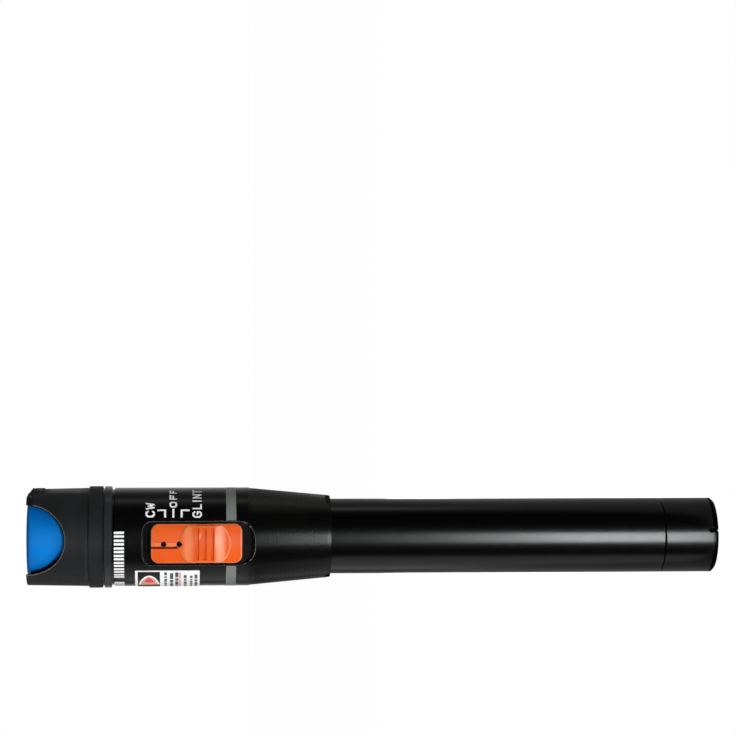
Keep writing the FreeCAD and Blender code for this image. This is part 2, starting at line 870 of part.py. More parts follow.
def make_dust_cap():
    edge_x = hinge_x - ear_r - lid_ear_gap
    disc = lid_shell().cut(box(edge_x, beyond, -beyond, beyond, 0, nose + past))
    cap = disc.fuse(lid_wings()).fuse(wing_lips())
    w = knuckle_half
    arm = box(edge_x - past, hinge_x, -w, w, lid_under, lid_top)
    cap = cap.fuse(arm).fuse(cross_cylinder(knuckle_r, -w, w, hinge_x, hinge_z))
    cap = cap.cut(cross_cylinder(pin_r + running_gap, -cowl_nose_r, cowl_nose_r, hinge_x, hinge_z))
    return clocked(cap)


def make_cap_pad():
    return clocked(cylinder(pad_r, lid_under - pad_thickness, lid_under))


save("tail_cap", make_tail_cap())
save("tail_seal", make_tail_seal())
save("tail_contact", make_tail_contact())
save("tail_spring", make_tail_spring())
save("battery_tube", make_battery_tube())
save("tube_seal", make_tube_seal())
save("rear_cell", make_cell(cell_foot))
save("front_cell", make_cell(cell_foot + cell_length))
save("head_housing", make_head_housing())
save("info_label", make_label())
save("switch_slider", make_switch_slider())
save("switch_lever", make_switch_lever())
save("slide_switch", make_slide_switch())
save("circuit_board", make_circuit_board())
save("driver_chip", make_driver_chip())
save("board_capacitor", make_capacitor())
save("contact_carrier", make_contact_carrier())
save("positive_contact", make_positive_contact())
save("ground_ring", make_ground_ring())
save("laser_wire_red", make_laser_wire(1))
save("laser_wire_black", make_laser_wire(-1))
save("laser_housing", make_laser_housing())
save("laser_diode", make_laser_diode())
save("collimator_lens", make_collimator_lens())
save("port_adapter", make_port_adapter())
save("ceramic_sleeve", make_ceramic_sleeve())
save("cowl", make_cowl())
save("cap_hinge_pin", make_hinge_pin())
save("dust_cap", make_dust_cap())
save("cap_pad", make_cap_pad())
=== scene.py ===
"""Looks of a pen-type visual fault locator, laid on its CAD solids.

The frame is in metres. Z runs up from the tail's flat face to the nose, the switch faces -Y, and
the dust cap's hinge lies on the +X side.
"""
import bpy
import bmesh
import math
from mathutils import Matrix, Vector


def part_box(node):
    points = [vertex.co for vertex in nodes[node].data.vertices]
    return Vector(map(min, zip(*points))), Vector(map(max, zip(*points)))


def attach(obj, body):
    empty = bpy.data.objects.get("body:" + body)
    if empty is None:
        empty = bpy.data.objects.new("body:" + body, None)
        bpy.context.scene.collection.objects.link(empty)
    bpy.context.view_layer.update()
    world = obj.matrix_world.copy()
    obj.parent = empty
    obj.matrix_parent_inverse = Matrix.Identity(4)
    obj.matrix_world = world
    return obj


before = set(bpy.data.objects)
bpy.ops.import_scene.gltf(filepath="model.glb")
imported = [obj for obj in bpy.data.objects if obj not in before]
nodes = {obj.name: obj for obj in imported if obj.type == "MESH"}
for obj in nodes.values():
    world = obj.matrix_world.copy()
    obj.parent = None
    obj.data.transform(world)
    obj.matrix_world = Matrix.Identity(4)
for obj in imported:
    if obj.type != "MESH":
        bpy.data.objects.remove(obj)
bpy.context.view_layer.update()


MM = 0.001


def lo_hi(name):
    lo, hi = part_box(name)
    return Vector(lo), Vector(hi)


tail_z = lo_hi("tail_cap")[0].z
head_z = lo_hi("head_housing")[0].z
nose_z = lo_hi("cowl")[1].z
slider_lo, slider_hi = lo_hi("switch_slider")
slider_mid = (slider_lo.z + slider_hi.z) / 2
label_top = lo_hi("info_label")[1].z

# A pair such as HINGE_SIDE_X is where a mask's even run starts and ends. Three lengths such as
# LAND_Z are the low end, the high end and the blur of a window.

BODY_R = 12.43 * MM                     # the head's plain barrel
TAPER_TOP = head_z + 20.45 * MM         # the barrel narrows below this
COWL_STEP = nose_z - 15.5 * MM          # foot of the cowl's narrower front
WINDOW_HALF = 8.4 * MM                  # the cowl's side windows are half ovals cut from the nose
WINDOW_DEPTH = 9.45 * MM
SEAM = tail_z + 13.6 * MM               # between the tail cap and the battery tube


# ---------------------------------------------------------------- shader building blocks

def new_material(name):
    m = bpy.data.materials.new(name)
    m.use_nodes = True
    tree = m.node_tree
    for n in list(tree.nodes):
        tree.nodes.remove(n)
    out = tree.nodes.new("ShaderNodeOutputMaterial")
    p = tree.nodes.new("ShaderNodeBsdfPrincipled")
    tree.links.new(p.outputs["BSDF"], out.inputs["Surface"])
    return m, tree, p


def lin(c):
    """A colour given as 0 to 255 on the sRGB curve, as the linear one that shaders take."""
    out = []
    for v in c:
        v = v / 255.0
        out.append(v / 12.92 if v <= 0.04045 else ((v + 0.055) / 1.055) ** 2.4)
    return (out[0], out[1], out[2], 1.0)


def maths(tree, operation, a, b=None):
    n = tree.nodes.new("ShaderNodeMath")
    n.operation = operation
    for i, v in enumerate((a, b)):
        if v is None:
            continue
        if isinstance(v, (int, float)):
            n.inputs[i].default_value = v
        else:
            tree.links.new(v, n.inputs[i])
    return n.outputs[0]


def times(tree, first, *others):
    for other in others:
        first = maths(tree, "MULTIPLY", first, other)
    return first


def plus(tree, a, b):
    return maths(tree, "ADD", a, b)


def minus(tree, a, b):
    return maths(tree, "SUBTRACT", a, b)


def over(tree, a, b):
    return maths(tree, "DIVIDE", a, b)


def unsigned(tree, value):
    return maths(tree, "ABSOLUTE", value)


def above(tree, value, limit):
    return maths(tree, "GREATER_THAN", value, limit)


def below(tree, value, limit):
    return maths(tree, "LESS_THAN", value, limit)


def within(tree, value, low, high):
    return times(tree, above(tree, value, low), below(tree, value, high))


def spread(tree, value, low, high, start=0.3, end=0.7):
    """low up to start, high beyond end, and an even run between the two."""
    r = tree.nodes.new("ShaderNodeMapRange")
    r.inputs["From Min"].default_value = start
    r.inputs["From Max"].default_value = end
    r.inputs["To Min"].default_value = low
    r.inputs["To Max"].default_value = high
    tree.links.new(value, r.inputs["Value"])
    return r.outputs["Result"]


def rise(tree, value, start, end):
    return spread(tree, value, 0.0, 1.0, start, end)


def fall(tree, value, start, end):
    return spread(tree, value, 1.0, 0.0, start, end)


def window(tree, value, low, high, soft):
    """1 between two values, with soft ends."""
    return times(tree, rise(tree, value, low - soft, low + soft),
                 fall(tree, value, high - soft, high + soft))


def place(tree):
    """Distance across, depth, height and distance from the pen's axis, in metres."""
    coords = tree.nodes.new("ShaderNodeTexCoord")
    split = tree.nodes.new("ShaderNodeSeparateXYZ")
    tree.links.new(coords.outputs["Object"], split.inputs[0])
    x, y, z = split.outputs
    squares = plus(tree, times(tree, x, x), times(tree, y, y))
    return x, y, z, maths(tree, "SQRT", squares)


def noise(tree, scale, detail=3.0):
    coords = tree.nodes.new("ShaderNodeTexCoord")
    n = tree.nodes.new("ShaderNodeTexNoise")
    n.inputs["Scale"].default_value = scale
    n.inputs["Detail"].default_value = detail
    n.inputs["Roughness"].default_value = 0.55
    tree.links.new(coords.outputs["Object"], n.inputs["Vector"])
    return n.outputs["Fac"]


def blend_colour(tree, fac, a, b):
    mix = tree.nodes.new("ShaderNodeMix")
    mix.data_type = "RGBA"
    mix.inputs[6].default_value = a
    mix.inputs[7].default_value = b
    tree.links.new(fac, mix.inputs[0])
    return mix.outputs[2]


def tint(tree, fac, colour, paint):
    """Lay a colour over the paint where fac is 1."""
    mix = tree.nodes.new("ShaderNodeMix")
    mix.data_type = "RGBA"
    mix.inputs[7].default_value = lin(colour)
    tree.links.new(paint, mix.inputs[6])
    tree.links.new(fac, mix.inputs[0])
    return mix.outputs[2]


def bump(tree, p, height, strength, distance, before=None):
    b = tree.nodes.new("ShaderNodeBump")
    b.inputs["Strength"].default_value = strength
    b.inputs["Distance"].default_value = distance
    tree.links.new(height, b.inputs["Height"])
    if before is not None:
        tree.links.new(before, b.inputs["Normal"])
    tree.links.new(b.outputs["Normal"], p.inputs["Normal"])
    return b.outputs["Normal"]


def soft_edges(tree, radius, wide=None):
    """Rounded edges; wide gives a height, a reach and a larger radius that holds there."""
    b = tree.nodes.new("ShaderNodeBevel")
    b.samples = 4
    b.inputs["Radius"].default_value = radius
    if wide:
        height, reach, large = wide
        z = place(tree)[2]
        there = within(tree, z, height - reach, height + reach)
        tree.links.new(plus(tree, times(tree, there, large - radius), radius), b.inputs["Radius"])
    return b.outputs["Normal"]


def alike(tree, way, normal):
    """How far two directions agree: 1 where they are the same."""
    dot = tree.nodes.new("ShaderNodeVectorMath")
    dot.operation = "DOT_PRODUCT"
    tree.links.new(way, dot.inputs[0])
    tree.links.new(normal, dot.inputs[1])
    return dot.outputs["Value"]


def true_normal(tree):
    return tree.nodes.new("ShaderNodeNewGeometry").outputs["Normal"]


# how far two normals agree on a plain face, on a full edge and on a full slope
SAME_WAY = 0.985
EDGE_WAY = 0.86
SLOPE_WAY = 0.8


def edge_mask(tree, radius):
    """1 on the sharp edges of a piece and 0 on its plain faces."""
    return fall(tree, alike(tree, soft_edges(tree, radius), true_normal(tree)), EDGE_WAY,
                SAME_WAY)


def slope_mask(tree):
    """1 where a face leans away from the pen's round surface, 0 where it follows it."""
    x, y, _, r = place(tree)
    outward = tree.nodes.new("ShaderNodeCombineXYZ")
    tree.links.new(over(tree, x, r), outward.inputs[0])
    tree.links.new(over(tree, y, r), outward.inputs[1])
    return fall(tree, alike(tree, outward.outputs[0], true_normal(tree)), SLOPE_WAY,
                SAME_WAY)


def thread(tree, z_low, z_high, pitch):
    """Height of a screw thread that runs round Z between two heights."""
    x, y, z, _ = place(tree)
    turn = over(tree, maths(tree, "ARCTAN2", y, x), 2 * math.pi)
    phase = minus(tree, over(tree, z, pitch), turn)
    wave = maths(tree, "SINE", times(tree, phase, 2 * math.pi))
    return times(tree, wave, within(tree, z, z_low, z_high))


BLOTCH = 160.0        # scale of the broad unevenness in a piece's colour
HALF_LAID = 0.5       # strength of a tint that lets half of the paint through


def surface(name, colour, shade, rough, metal=0.0, specular=0.5, grain=2500.0,
            grain_depth=0.02 * MM, grain_strength=0.25, rough_span=0.06, edge=0.0,
            threads=None, finish=None, wide=None):
    """A material between two colours; finish is a function that paints more over them.

    threads gives a screw thread's low end, high end, pitch and depth, and wide is what
    soft_edges takes.
    """
    m, tree, p = new_material(name)
    p.inputs["Metallic"].default_value = metal
    p.inputs["Specular IOR Level"].default_value = specular
    blotches = spread(tree, noise(tree, BLOTCH, 2.0), 0, 1)
    paint = blend_colour(tree, blotches, lin(colour), lin(shade))
    if finish:
        paint = finish(tree, paint)
    tree.links.new(paint, p.inputs["Base Color"])
    tree.links.new(spread(tree, noise(tree, 3 * BLOTCH), rough - rough_span, rough + rough_span),
                   p.inputs["Roughness"])
    before = soft_edges(tree, edge, wide) if edge else None
    if threads:
        z_low, z_high, pitch, depth = threads
        before = bump(tree, p, thread(tree, z_low, z_high, pitch), 1.0, depth, before)
    bump(tree, p, noise(tree, grain, 4.0), grain_strength, grain_depth, before)
    return m


def shine_socket(material):
    shader = next(n for n in material.node_tree.nodes if n.type == "BSDF_PRINCIPLED")
    return shader.inputs["Specular IOR Level"]


def shine_to(material, level, mask):
    """Bring a material's even shine to another level where the mask made by a function is 1."""
    tree = material.node_tree
    socket = shine_socket(material)
    tree.links.new(spread(tree, mask(tree), socket.default_value, level, 0.0, 1.0), socket)


def dull_where(material, mask):
    """Take the shine off where the mask made by a function is 1."""
    tree = material.node_tree
    socket = shine_socket(material)
    shine = socket.links[0].from_socket if socket.is_linked else socket.default_value
    tree.links.new(times(tree, shine, minus(tree, 1.0, mask(tree))), socket)


# ---------------------------------------------------------------- battery tube and tail cap

SEAM_OWN = 0.28 * MM        # each piece is dull this far from the seam on its own side
SEAM_PAST = 0.1 * MM        # and this far past it
TAIL_CHAMFER = 0.72 * MM    # the dark chamfer round the tail's flat face
CHAMFER_BOW = 0.65 * MM     # it and the cap's half of the seam bow this much towards both sides
TAIL_FACE_PAST = 3.0 * MM   # taken well past the flat face
DULLED = 0.01               # the shine that is left there
THREAD_FOOT = tail_z + 15.6 * MM
THREAD_TOP = tail_z + 20.1 * MM
THREAD_PITCH = 1.0 * MM
THREAD_DEPTH = 0.22 * MM
HOLE_X = 2.45 * MM          # the lanyard hole's mouth is an oval on the switch side
HOLE_Z = tail_z + 1.7 * MM
HOLE_HALF_WIDTH = 0.62 * MM
HOLE_HALF_LENGTH = 0.9 * MM
HOLE_EDGE = (0.7, 1.1)      # squared shares of the oval
CHAMFER_BOW_X = (1.0 * MM, 4.5 * MM)

anodised = {"rough": 0.24, "specular": 0.26, "edge": 0.1 * MM, "grain": 4200.0,
            "grain_depth": 0.006 * MM, "grain_strength": 0.3, "rough_span": 0.012}
tube_black = surface("anodised_black", (3, 3, 3), (2, 2, 2), **anodised)
cap_black = surface("anodised_tail", (3, 3, 3), (2, 2, 2), **anodised,
                    threads=(THREAD_FOOT, THREAD_TOP, THREAD_PITCH, THREAD_DEPTH))


def tube_seam(tree):
    """The seam's upper half."""
    return within(tree, place(tree)[2], SEAM - SEAM_PAST, SEAM + SEAM_OWN)


def cap_seam_and_chamfer(tree):
    """The seam's lower half, and the chamfer round the tail's flat face."""
    x, _, z, _ = place(tree)
    bow = spread(tree, unsigned(tree, x), 0.0, CHAMFER_BOW, *CHAMFER_BOW_X)
    bowed = minus(tree, z, bow)
    return maths(tree, "MAXIMUM",
                 within(tree, bowed, tail_z - TAIL_FACE_PAST, tail_z + TAIL_CHAMFER),
                 within(tree, bowed, SEAM - SEAM_OWN, SEAM + SEAM_PAST))


def hole_mouth(tree):
    """The oval mouth of the lanyard hole."""
    x, y, z, _ = place(tree)
    across = over(tree, minus(tree, x, HOLE_X), HOLE_HALF_WIDTH)
    along = over(tree, minus(tree, z, HOLE_Z), HOLE_HALF_LENGTH)
    oval = plus(tree, times(tree, across, across), times(tree, along, along))
    return times(tree, fall(tree, oval, *HOLE_EDGE), below(tree, y, 0.0))


shine_to(tube_black, DULLED, tube_seam)
shine_to(cap_black, DULLED, cap_seam_and_chamfer)
dull_where(cap_black, hole_mouth)


# ---------------------------------------------------------------- head

RECESS_HALF = 5.7 * MM          # the rim of the switch's recess is looked for inside these
RECESS_PAST_NOSE = 3.2 * MM
RECESS_PAST_TAIL = 4.2 * MM
RECESS_FRONT = -10.0 * MM       # it lies on the switch side of this
RIM_DEPTH = 0.7 * MM
RIM_CORNER = 4.3 * MM           # further out than this the rim is left plain at the taper's bend
BEND_REACH = 0.8 * MM
RIM_THIN = 0.16 * MM            # reach of the tint along the whole rim
RIM_BROAD = 0.3 * MM            # and of the paler one at its tail end
RIM_TAIL_END = (slider_lo.z - 2.0 * MM, slider_lo.z)
# painted highlights along the recess's edge: pale grey all round and paler at its tail end
RIM_HIGHLIGHT_GREY = (124, 122, 124)
RIM_HIGHLIGHT_PALE = (190, 184, 190)
COLLAR_FOOT = (nose_z - 21.6 * MM, nose_z - 21.2 * MM)
COLLAR_BLACK = (40, 41, 42)
# painted light: the hinge side of the taper is painted a lighter grey
HINGE_SIDE_X = (7.0 * MM, 10.0 * MM)
HINGE_SIDE_TOP = (TAPER_TOP - 1.0 * MM, TAPER_TOP + 1.0 * MM)
HINGE_SIDE_PAINTED_LIGHT = (34, 34, 31)
TAPER_END = (TAPER_TOP - 1.5 * MM, TAPER_TOP + 1.5 * MM)
TAPER_DULLNESS = (0.25, 0.68)   # amounts at its foot and at its wide end
TAPER_RINGS = (1.05 * MM, 0.67 * MM)    # pitches of the faint turning marks
RING_DEPTH = 0.035
FOOT_ROUND = 1.2 * MM           # height of the dark corners at the head's foot
FOOT_CORNER_X = (8.4 * MM, 9.4 * MM)


def recess_rim(tree, radius):
    """1 on the edge of the switch's recess, apart from the two places where the taper bends it."""
    x, y, z, r = place(tree)
    near = times(tree, within(tree, x, -RECESS_HALF, RECESS_HALF),
                 within(tree, z, slider_lo.z - RECESS_PAST_TAIL, slider_hi.z + RECESS_PAST_NOSE),
                 below(tree, y, RECESS_FRONT), above(tree, r, BODY_R - RIM_DEPTH))
    bend = times(tree, above(tree, unsigned(tree, x), RIM_CORNER),
                 within(tree, z, TAPER_TOP - BEND_REACH, TAPER_TOP + BEND_REACH))
    return times(tree, near, minus(tree, 1.0, bend), edge_mask(tree, radius))


def head_finish(tree, paint):
    """A paler collar behind the cowl, painted light on the hinge side of the taper, and a painted
    highlight along the edge of the switch's recess.
    """
    x, _, z, _ = place(tree)
    paint = tint(tree, rise(tree, z, *COLLAR_FOOT), COLLAR_BLACK, paint)
    # painted light on the hinge side of the taper
    hinge_side = times(tree, rise(tree, x, *HINGE_SIDE_X), fall(tree, z, *HINGE_SIDE_TOP))
    paint = tint(tree, hinge_side, HINGE_SIDE_PAINTED_LIGHT, paint)
    # painted highlight along the edge of the switch's recess
    paint = tint(tree, recess_rim(tree, RIM_THIN), RIM_HIGHLIGHT_GREY, paint)
    tail_end = fall(tree, z, *RIM_TAIL_END)
    return tint(tree, times(tree, recess_rim(tree, RIM_BROAD), tail_end), RIM_HIGHLIGHT_PALE, paint)


def taper_dullness(tree):
    """The head's taper is duller than its barrel, most of all at its wide end."""
    z = place(tree)[2]
    along = spread(tree, z, *TAPER_DULLNESS, head_z, TAPER_END[0])
    for pitch in TAPER_RINGS:
        turned = maths(tree, "SINE", times(tree, z, 2.0 * math.pi / pitch))
        along = plus(tree, along, times(tree, turned, RING_DEPTH))
    return times(tree, along, fall(tree, z, *TAPER_END))


def foot_corners(tree):
    """The rounded foot of the head is dark at both sides of the highlight."""
    x, _, z, _ = place(tree)
    reach = spread(tree, unsigned(tree, x), 0.0, FOOT_ROUND, *FOOT_CORNER_X)
    return below(tree, minus(tree, z, reach), head_z)


head_black = surface("head_black", (8, 8, 7), (6, 6, 6), 0.26, specular=0.18, edge=0.2 * MM,
                     grain=2600.0, grain_strength=0.35, rough_span=0.02, finish=head_finish,
                     wide=(TAPER_TOP, 1.4 * MM, 0.9 * MM))
dull_where(head_black, taper_dullness)
dull_where(head_black, foot_corners)


# ---------------------------------------------------------------- cowl and dust cap

# the windows' cut edge gets a painted highlight
CUT_EDGE_R = 11.6 * MM          # the windows' cut edge is paler outside this
CUT_EDGE_PAST = 0.8 * MM        # it is looked for this far past the oval's sides
CUT_EDGE_BELOW = 0.85 * MM      # and this far below its foot
CUT_EDGE_REACH = 0.5 * MM
CUT_EDGE_HIGHLIGHT = (128, 120, 112)
# a pale sheen painted on a band of the cowl behind the hinge
LAND_X = (11.6 * MM, 12.15 * MM)
LAND_Z = (COWL_STEP + 0.8 * MM, nose_z - 5.6 * MM, 0.9 * MM)
LAND_SHINE = 1.0
LAND_SHEEN_GREY = (70, 70, 66)
# painted light: a lighter grey at the foot of the cowl's step, fading out towards the hinge side,
# over the shade in its corner
STEP_X = (0.0, 6.0 * MM)
STEP_Z = (COWL_STEP - 0.2 * MM, COWL_STEP + 0.7 * MM, 0.25 * MM)
STEP_PAINTED_LIGHT = (38, 39, 40)
# painted shadow in the cowl's corner at the nose, on the hinge side
CORNER_X = (7.4 * MM, 8.2 * MM)
CORNER_Z = (nose_z - 1.9 * MM, nose_z - 1.3 * MM)
CORNER_PAINTED_SHADOW = (5, 5, 5)
WING_R = 9.6 * MM               # the cap's side wings lie outside this
WING_TOP = nose_z - 1.2 * MM
# painted light in the wing's middle, painted shade at the nose and towards the hinge side, and a
# painted shadow crescent along the window's edge away from the hinge
WING_CORE_X = (-4.5 * MM, 2.5 * MM, 2.0 * MM)
WING_CORE_Z = (nose_z - 7.0 * MM, nose_z - 2.4 * MM, 1.6 * MM)
WING_CORE_PAINTED_LIGHT = (0, 128, 220)
WING_MOUTH_X = (3.5 * MM, 8.5 * MM)
WING_MOUTH_Z = (nose_z - 1.6 * MM, nose_z - 0.5 * MM)
WING_MOUTH_PAINTED_SHADE = (0, 66, 140)
WING_RIM = (0.84, 0.91)         # shares of the window's oval
WING_RIM_X = (-4.4 * MM, -1.5 * MM)
WING_RIM_PAINTED_SHADOW = (4, 9, 30)


def painted_sheen_band(tree):
    """1 on a band of the cowl's top behind the hinge, where a pale sheen is painted and the shine
    is raised.
    """
    x, _, z, _ = place(tree)
    return times(tree, rise(tree, x, *LAND_X), window(tree, z, *LAND_Z))


def cowl_finish(tree, paint):
    """A painted highlight on the windows' cut edge, a painted pale sheen on a band behind the
    hinge, painted light at the step behind it and a painted shadow in the hinge corner.
    """
    x, _, z, r = place(tree)
    # painted highlight on the windows' cut edge
    half = WINDOW_HALF + CUT_EDGE_PAST
    near = times(tree, within(tree, x, -half, half), above(tree, r, CUT_EDGE_R),
                 above(tree, z, nose_z - WINDOW_DEPTH - CUT_EDGE_BELOW))
    paint = tint(tree, times(tree, near, edge_mask(tree, CUT_EDGE_REACH)), CUT_EDGE_HIGHLIGHT, paint)
    paint = tint(tree, painted_sheen_band(tree), LAND_SHEEN_GREY, paint)
    # painted light at the step
    step = times(tree, window(tree, z, *STEP_Z), fall(tree, x, *STEP_X))
    paint = tint(tree, step, STEP_PAINTED_LIGHT, paint)
    # painted shadow in the hinge corner
    corner = times(tree, rise(tree, z, *CORNER_Z), rise(tree, x, *CORNER_X))
    return tint(tree, corner, CORNER_PAINTED_SHADOW, paint)


def wing_shade(tree, paint):
    """Painted light and shade on a side wing: a painted brighter middle, painted shade at the nose
    and towards the hinge side, and a painted shadow where it runs in under the window.
    """
    x, _, z, r = place(tree)
    down = over(tree, minus(tree, nose_z, z), WINDOW_DEPTH)
    across = over(tree, x, WINDOW_HALF)
    oval = maths(tree, "SQRT", plus(tree, times(tree, down, down), times(tree, across, across)))
    core = times(tree, window(tree, x, *WING_CORE_X), window(tree, z, *WING_CORE_Z))
    paint = tint(tree, times(tree, core, HALF_LAID), WING_CORE_PAINTED_LIGHT, paint)
    mouth = maths(tree, "MAXIMUM", rise(tree, z, *WING_MOUTH_Z), rise(tree, x, *WING_MOUTH_X))
    paint = tint(tree, times(tree, mouth, HALF_LAID), WING_MOUTH_PAINTED_SHADE, paint)
    rim = times(tree, rise(tree, oval, *WING_RIM), fall(tree, x, *WING_RIM_X),
                above(tree, r, WING_R), below(tree, z, WING_TOP))
    return tint(tree, rim, WING_RIM_PAINTED_SHADOW, paint)


cowl_black = surface("cowl_black", (27, 28, 29), (22, 23, 24), 0.62, specular=0.22,
                     edge=0.3 * MM, grain=3000.0, grain_depth=0.03 * MM, grain_strength=0.5,
                     finish=cowl_finish, wide=(COWL_STEP, 1.2 * MM, 0.9 * MM))
shine_to(cowl_black, LAND_SHINE, painted_sheen_band)
cap_blue = surface("cap_blue", (0, 112, 190), (0, 104, 182), 0.42, specular=0.1,
                   edge=0.15 * MM, grain=2600.0, grain_depth=0.015 * MM, grain_strength=0.3,
                   finish=wing_shade)


# ---------------------------------------------------------------- switch slider

PLATE_R = BODY_R + 0.2 * MM             # top of the slider's plate
RIB_R = PLATE_R + 0.85 * MM             # top of its finger ribs
PAD_MID = slider_mid - 2.1 * MM         # middle of the ribbed pad
PAD_FOOT = (PLATE_R + 0.2 * MM, PLATE_R + 0.4 * MM)
# the pad's two ramps, which get a painted highlight: from and to, as seen from its middle, colour
# and strength
RAMPS = ((-4.9 * MM, -2.75 * MM, (246, 184, 152), 0.45),
         (3.2 * MM, 5.3 * MM, (240, 160, 108), 0.38))
RAMP_BLUR = 0.5 * MM
GROOVES_HALF = 2.25 * MM                # the grooves between the ribs lie this near its middle
GROOVE_R = (RIB_R - 0.3 * MM, RIB_R - 0.05 * MM)
GROOVE_ORANGE = (222, 88, 28)
SLOPES_R = PLATE_R - 0.45 * MM          # deeper slopes get no painted highlight
SLOPE_HIGHLIGHT_ORANGE = (246, 168, 120)
SLOPE_STRENGTH = 0.55
TONGUE_HALF = 0.56 * MM                 # the tongue that lies beside the slit
TONGUE_FOOT = slider_mid + 4.4 * MM
TONGUE_R = PLATE_R - 0.1 * MM
TONGUE_ORANGE = (248, 150, 96)
TONGUE_STRENGTH = 0.35
# painted shade in the slider's hollows and in its slit
HOLLOW_R = (PLATE_R - 1.1 * MM, PLATE_R - 0.5 * MM)
HOLLOW_PAINTED_SHADE = (24, 8, 4)
SLIT_FAR = 1.14 * MM
SLIT_FOOT = slider_mid + 4.7 * MM
SLIT_R = (PLATE_R - 0.3 * MM, PLATE_R)
SLIT_PAINTED_SHADE = (120, 36, 16)


def slider_tints(tree, paint):
    """Painted highlights on the plate's edges and the pad's ramps, a paler tongue, plain grooves,
    and painted shade in the hollows and the slit of the moulded switch plate.
    """
    x, _, z, r = place(tree)
    # painted highlights on the slopes and ramps
    slopes = times(tree, slope_mask(tree), above(tree, r, SLOPES_R), SLOPE_STRENGTH)
    paint = tint(tree, slopes, SLOPE_HIGHLIGHT_ORANGE, paint)
    raised = rise(tree, r, *PAD_FOOT)
    for low, high, colour, strength in RAMPS:
        ramp = window(tree, z, PAD_MID + low, PAD_MID + high, RAMP_BLUR)
        paint = tint(tree, times(tree, ramp, raised, strength), colour, paint)
    tongue = times(tree, within(tree, x, -TONGUE_HALF, TONGUE_HALF), above(tree, z, TONGUE_FOOT),
                   above(tree, r, TONGUE_R), TONGUE_STRENGTH)
    paint = tint(tree, tongue, TONGUE_ORANGE, paint)
    grooves = times(tree, within(tree, z, PAD_MID - GROOVES_HALF, PAD_MID + GROOVES_HALF),
                    fall(tree, r, *GROOVE_R))
    paint = tint(tree, grooves, GROOVE_ORANGE, paint)
    # painted shade in the hollows and the slit
    paint = tint(tree, fall(tree, r, *HOLLOW_R), HOLLOW_PAINTED_SHADE, paint)
    slit = times(tree, within(tree, x, -SLIT_FAR, -TONGUE_HALF), above(tree, z, SLIT_FOOT),
                 fall(tree, r, *SLIT_R))
    return tint(tree, slit, SLIT_PAINTED_SHADE, paint)


orange = surface("slider_orange", (224, 88, 16), (218, 80, 13), 0.34, specular=0.34,
                 edge=0.2 * MM, grain=2600.0, grain_depth=0.015 * MM, grain_strength=0.3,
                 finish=slider_tints)


# ---------------------------------------------------------------- inner pieces and inks

# painted shade on the adapter's foot, inside the cowl
ADAPTER_BRIGHT = nose_z - 5.5 * MM      # the port adapter is bright above this
ADAPTER_PAINTED_SHADE = (18, 18, 19)
PLATED_GRAIN = 0.005 * MM
PRINT_GRAIN = 0.004 * MM


def flange_shade(tree, paint):
    """The adapter's foot is painted dark as the shade inside the cowl; only its nose is bright."""
    return tint(tree, below(tree, place(tree)[2], ADAPTER_BRIGHT), ADAPTER_PAINTED_SHADE, paint)


black_pin = surface("black_pin", (22, 22, 23), (16, 16, 17), 0.4, metal=0.4)
rubber_black = surface("seal_rubber", (22, 22, 22), (16, 16, 16), 0.7, specular=0.3)
pad_grey = surface("pad_rubber", (60, 60, 62), (48, 48, 50), 0.75, specular=0.3)
nickel = surface("nickel_plate", (214, 210, 200), (200, 196, 186), 0.2, metal=1.0,
                 grain_depth=PLATED_GRAIN)
adapter_nickel = surface("adapter_nickel", (214, 210, 200), (200, 196, 186), 0.2, metal=1.0,
                         grain_depth=PLATED_GRAIN, finish=flange_shade)
spring_steel = surface("spring_steel", (176, 178, 182), (156, 158, 162), 0.28, metal=1.0)
cell_can = surface("cell_sleeve", (196, 198, 196), (182, 184, 182), 0.35, metal=0.6)
brass = surface("stamped_brass", (206, 168, 92), (190, 150, 78), 0.28, metal=1.0)
turned_brass = surface("turned_brass", (200, 160, 88), (182, 142, 74), 0.24, metal=1.0)
green_board = surface("board_green", (22, 104, 62), (14, 88, 50), 0.4)
black_chip = surface("chip_black", (30, 30, 31), (22, 22, 23), 0.5)
tan_cap = surface("capacitor_tan", (196, 152, 84), (180, 136, 72), 0.45)
natural = surface("carrier_white", (214, 210, 198), (202, 198, 186), 0.5)
wire_red = surface("wire_red", (190, 26, 24), (172, 18, 18), 0.45)
wire_black = surface("wire_black", (24, 24, 24), (16, 16, 16), 0.45)
zirconia = surface("zirconia_white", (240, 239, 230), (232, 230, 220), 0.18)
white_ink = surface("white_ink", (240, 240, 238), (232, 232, 230), 0.5, grain_depth=PRINT_GRAIN)
grey_ink = surface("grey_ink", (112, 117, 112), (98, 103, 98), 0.42, grain_depth=PRINT_GRAIN)
label_white = surface("label_white", (242, 243, 243), (234, 236, 236), 0.4,
                      grain_depth=PRINT_GRAIN)
label_black = surface("label_black", (18, 18, 20), (14, 14, 15), 0.5, specular=0.2,
                      grain_depth=PRINT_GRAIN)
label_red = surface("label_red", (218, 52, 50), (206, 44, 42), 0.42, grain_depth=PRINT_GRAIN)
label_pink = surface("label_pink", (232, 150, 140), (226, 140, 130), 0.42,
                     grain_depth=PRINT_GRAIN)
label_grey = surface("label_grey", (74, 76, 78), (62, 64, 66), 0.42, grain_depth=PRINT_GRAIN)


def lens_glass():
    m, tree, p = new_material("lens_glass")
    p.inputs["Transmission Weight"].default_value = 1.0
    p.inputs["IOR"].default_value = 1.52
    tree.links.new(spread(tree, noise(tree, 900.0), 0.02, 0.06), p.inputs["Roughness"])
    return m


